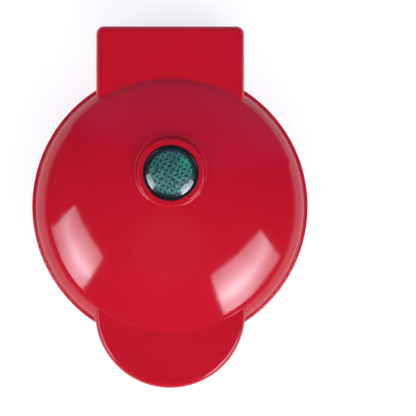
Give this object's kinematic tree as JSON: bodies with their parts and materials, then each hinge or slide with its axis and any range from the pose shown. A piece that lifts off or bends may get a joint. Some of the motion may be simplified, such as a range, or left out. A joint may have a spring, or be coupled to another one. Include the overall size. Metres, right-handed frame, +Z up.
{
  "type": "waffle maker",
  "caption": "Small round clamshell waffle maker: domed hinged lid with handle tongue and indicator lens, two cast plates with a grid of posts, and a base on rubber feet.",
  "frame": {"origin": "centre of the overall footprint at the level of the table, on the round body's vertical axis", "axes": "+Z up; +Y to the rear, towards the hinge, with the handle tongue at -Y; +X to the right seen from the front"},
  "size_m": [0.127, 0.1664, 0.0711],
  "materials": {
    "red_housing": "glossy moulded red plastic",
    "black_frame": "matte heat-resistant black plastic",
    "black_trim": "satin black plastic",
    "green_lens": "dark green prismatic plastic lens",
    "lamp_glass": "clear glass",
    "nonstick_plate": "black non-stick coating on die-cast aluminium",
    "element_sheath": "oxidised steel sheath",
    "shield_sheet": "mill-finish pressed sheet",
    "zinc_screw": "zinc-plated",
    "pin_steel": "turned steel",
    "thermostat_body": "moulded phenolic",
    "white_ceramic": "unglazed steatite",
    "terminal_brass": "plain brass",
    "rubber_black": "matte black rubber"
  },
  "bodies": {
    "base": {"base_shell": "red_housing", "base_frame": "black_frame", "base_frame_screws": "zinc_screw", "lower_plate": "nonstick_plate", "lower_heating_element": "element_sheath", "lower_heat_shield": "shield_sheet", "lower_heat_shield_screws": "zinc_screw", "thermostat": "thermostat_body", "thermostat_screws": "zinc_screw", "terminal_block": "white_ceramic", "terminal_screws": "terminal_brass", "cord_gland": "rubber_black", "hinge_pins": "pin_steel", "rubber_feet": "rubber_black"},
    "lid": {"lid_shell": "red_housing", "lid_frame": "black_frame", "lid_frame_screws": "zinc_screw", "upper_plate": "nonstick_plate", "upper_heating_element": "element_sheath", "upper_heat_shield": "shield_sheet", "upper_heat_shield_screws": "zinc_screw", "indicator_bezel": "black_trim", "indicator_lens": "green_lens", "indicator_lamp": "lamp_glass", "lamp_holder": "black_frame", "lamp_holder_screws": "zinc_screw"}
  },
  "joints": [
    {"name": "lid_hinge", "type": "hinge", "parent": "base", "child": "lid", "pos_m": [0, 0.0779, 0.036], "axis": [-1, 0, 0], "range_deg": [0, 100]}
  ]
}
